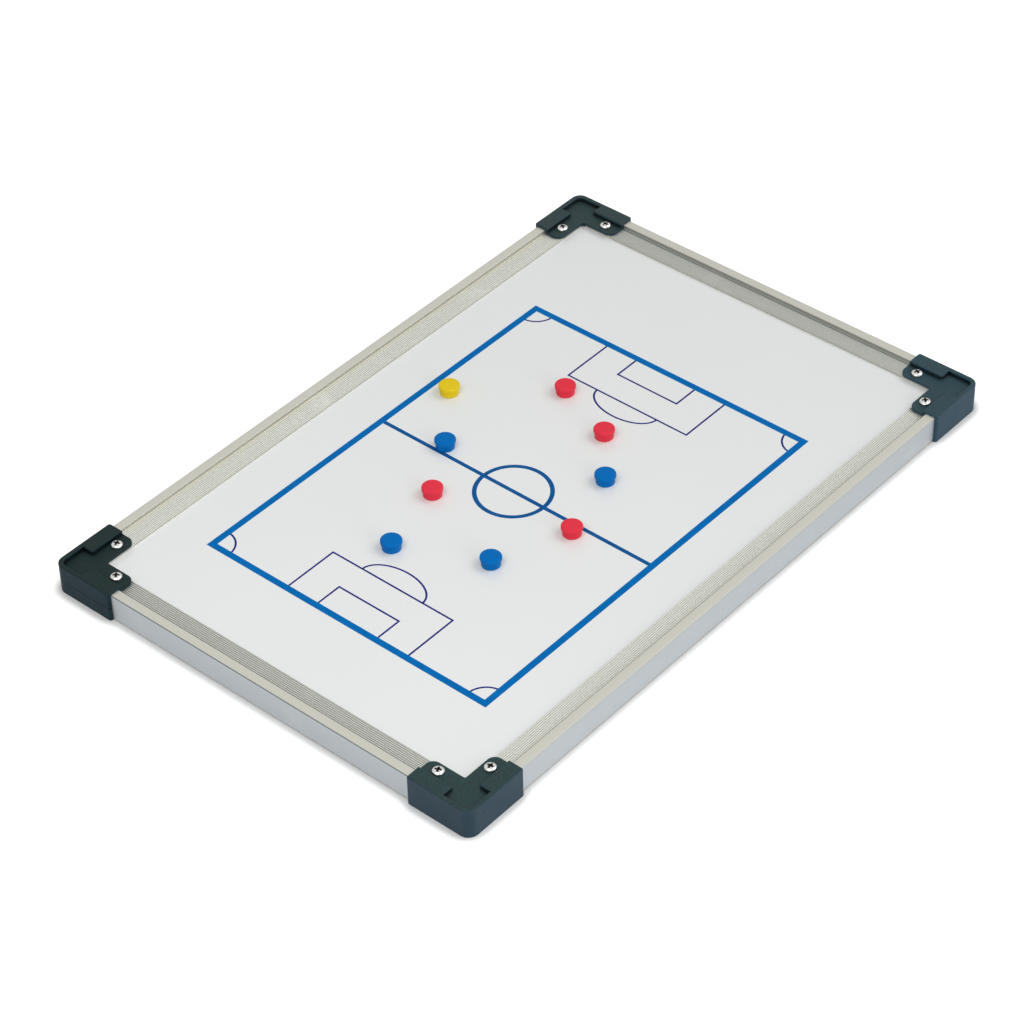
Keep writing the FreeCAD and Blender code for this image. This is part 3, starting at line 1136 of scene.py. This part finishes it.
@dataclass
class Counters:
    """Magnetic counters, in millimetres: a flanged cap and the disc in its underside."""

    top: float = 6.4
    crown: float = 0.14
    crown_line: tuple[tuple[float, float], ...] = ((0.35, 0.12), (0.65, 0.42))
    flange: float = 6.3
    flange_under: float = 4.0
    body: float = 5.6
    pocket: float = 4.6
    pocket_top: float = 3.2
    top_edge: float = 0.75
    flange_edge: float = 0.4
    waist: float = 0.3
    foot: float = 0.35
    steps: int = 72
    arc_steps: int = 8
    disc: SinteredFerrite = SinteredFerrite("ferrite_finish")

    def profile(self) -> Array:
        """Radius and level of the cap from the crown over the flange to the roof of the pocket.

        The crown line gives shares of the radius, and of the crown's fall that is reached there.

        Returns:
            Rows of radius and level.
        """
        shoulder = self.top - self.crown
        dome = [(out * self.flange, self.top - fall * self.crown, 0.0) for out, fall in self.crown_line]
        arcs = rounded_outline([
            (0.0, self.top, 0.0), *dome, (self.flange, shoulder, self.top_edge),
            (self.flange, self.flange_under, self.flange_edge), (self.body, self.flange_under, self.waist),
            (self.body, 0.0, self.foot), (self.pocket, 0.0, self.foot / 2.0),
            (self.pocket, self.pocket_top, 0.0), (0.0, self.pocket_top, 0.0)], self.arc_steps)
        return arcs.reshape(-1, 2)

    def build(self) -> None:
        """Turn each cap where its CAD node stands, and dress the discs."""
        cap = turned_surface(self.profile(), np.linspace(0.0, 2.0 * math.pi, self.steps, endpoint=False))
        for colour in CounterColour:
            name = colour.name.lower()
            finish = GlossPlastic(f"{name}_plastic_finish", colour.tint)
            for number in range(1, colour.count + 1):
                body = f"{name}_counter_{number}"
                low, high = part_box(f"{body}_cap")
                seat = ((low.x + high.x) / 2.0, (low.y + high.y) / 2.0, low.z)
                surface = Surface()
                surface.add_grid(cap + np.array(seat) / MM)
                piece = surface.piece(f"{body}_turned_cap")
                settle(piece, finish, body, [f"{body}_cap"])
                dress_node(f"{body}_magnet", self.disc)


@dataclass
class Studio:
    """Floor, light and camera, in metres; each lamp has a name, a place, a size and a power in watts."""

    floor_half: float = 6.0
    floor_level: float = -0.0002
    floor_grey: float = 0.8
    floor_glow: float = 0.55
    # Reach and steepness of the painted contact shadow in the floor's glow.
    contact: float = 0.0065
    contact_gain: float = 3.0
    floor_mirrored: float = 0.2
    world_light: float = 0.385
    lamps: tuple[tuple[str, Triple, float, float], ...] = (
        ("key", (3.4, 3.7, 5.9), 5.2, 196.0), ("fill", (0.2, -0.72, 1.15), 0.8, 6.5),
        ("side", (1.5, -0.3, 0.45), 0.8, 4.8))
    camera_place: Triple = (0.928558, -1.066090, 1.200871)
    camera_target: Triple = (0.017283, -0.031347, 0.0132)
    camera_roll: float = -1.4148
    camera_lens: float = 112.985
    sensor: float = 36.0

    @staticmethod
    def seen(shader: Shader) -> tuple[Sock, Sock]:
        """Tell apart the rays that see the stage.

        Args:
            shader: Tree that takes the nodes.

        Returns:
            1 for rays from the camera, and 1 for mirrored and passing rays, each 0 for others.
        """
        camera, mirrored, passing = [
            shader.node("ShaderNodeLightPath", {}, {}, f"Is {kind} Ray")
            for kind in ("Camera", "Glossy", "Transmission")]
        return camera, mirrored | passing

    def build_floor(self) -> None:
        """Lay a level floor that is white to the eye, and darker where the board shuts out the sky."""
        corners = np.array([(-1, -1, 0), (1, -1, 0), (1, 1, 0), (-1, 1, 0)]) * self.floor_half
        mesh = bpy.data.meshes.new("floor")
        mesh.from_pydata(corners + (0.0, 0.0, self.floor_level), [], [(0, 1, 2, 3)])
        floor = bpy.data.objects.new("floor", mesh)
        bpy.context.scene.collection.objects.link(floor)
        shader = Shader(bpy.data.materials.new("floor_finish"))
        grey = (self.floor_grey, self.floor_grey, self.floor_grey, 1.0)
        diffuse = shader.node("ShaderNodeBsdfDiffuse", {}, {"Color": grey})
        camera, mirrored = self.seen(shader)
        # Painted contact shadow: the camera's glow fades near the board by ambient occlusion.
        open_sky = shader.node("ShaderNodeAmbientOcclusion", {}, {"Distance": self.contact}, "AO")
        clear = open_sky * self.contact_gain - (self.contact_gain - 1.0) | 0.0
        surface = diffuse
        for share, glow in ((mirrored, self.floor_mirrored), (camera * clear, self.floor_glow)):
            light = shader.node("ShaderNodeEmission", {}, {"Strength": glow})
            bright = shader.node("ShaderNodeAddShader", {}, {0: diffuse, 1: light})
            surface = shader.node("ShaderNodeMixShader", {}, {0: share, 1: surface, 2: bright})
        shader.node("ShaderNodeOutputMaterial", {}, {"Surface": surface})
        mesh.materials.append(shader.owner)

    def build_light(self) -> None:
        """Fill the world with soft light, and hang a far lamp behind and weak ones in front and beside."""
        world = bpy.data.worlds.new("studio")
        bpy.context.scene.world = world
        shader = Shader(world)
        camera, mirrored = self.seen(shader)
        white = (1.0, 1.0, 1.0, 1.0)
        soft, full = [shader.node("ShaderNodeBackground", {}, {"Color": white, "Strength": strength})
                      for strength in (self.world_light, 1.0)]
        sky = shader.node("ShaderNodeMixShader", {}, {0: camera | mirrored, 1: soft, 2: full})
        shader.node("ShaderNodeOutputWorld", {}, {"Surface": sky})
        for name, place, size, power in self.lamps:
            light = bpy.data.lights.new(name, "AREA")
            light.size = size
            light.energy = power
            lamp = bpy.data.objects.new(name, light)
            lamp.location = place
            lamp.rotation_euler = Vector(place).to_track_quat("Z", "Y").to_euler()
            bpy.context.scene.collection.objects.link(lamp)

    def build_camera(self) -> None:
        """Set the camera at the viewpoint of the photograph."""
        lens = bpy.data.cameras.new("view")
        lens.sensor_width = self.sensor
        lens.lens = self.camera_lens
        camera = bpy.data.objects.new("view", lens)
        place = Vector(self.camera_place)
        back = place - Vector(self.camera_target)
        level = back.to_track_quat("Z", "Y").to_matrix().to_4x4()
        roll = Matrix.Rotation(math.radians(self.camera_roll), 4, "Z")
        camera.matrix_world = Matrix.Translation(place) @ level @ roll
        bpy.context.scene.collection.objects.link(camera)
        bpy.context.scene.camera = camera

    def build(self) -> None:
        """Set up the stage and the plain view transform."""
        self.build_floor()
        self.build_light()
        self.build_camera()
        bpy.context.scene.view_settings.view_transform = "Standard"


def main() -> None:
    """Build and dress every part of the board, then the stage."""
    logging.basicConfig(level=logging.INFO, format="%(message)s")
    Panel().dress()
    for part in (PrintedPitch(), FrameRails(), CornerCaps(), CapScrews(), Counters(), Studio()):
        part.build()


if __name__ == "__main__":
    main()
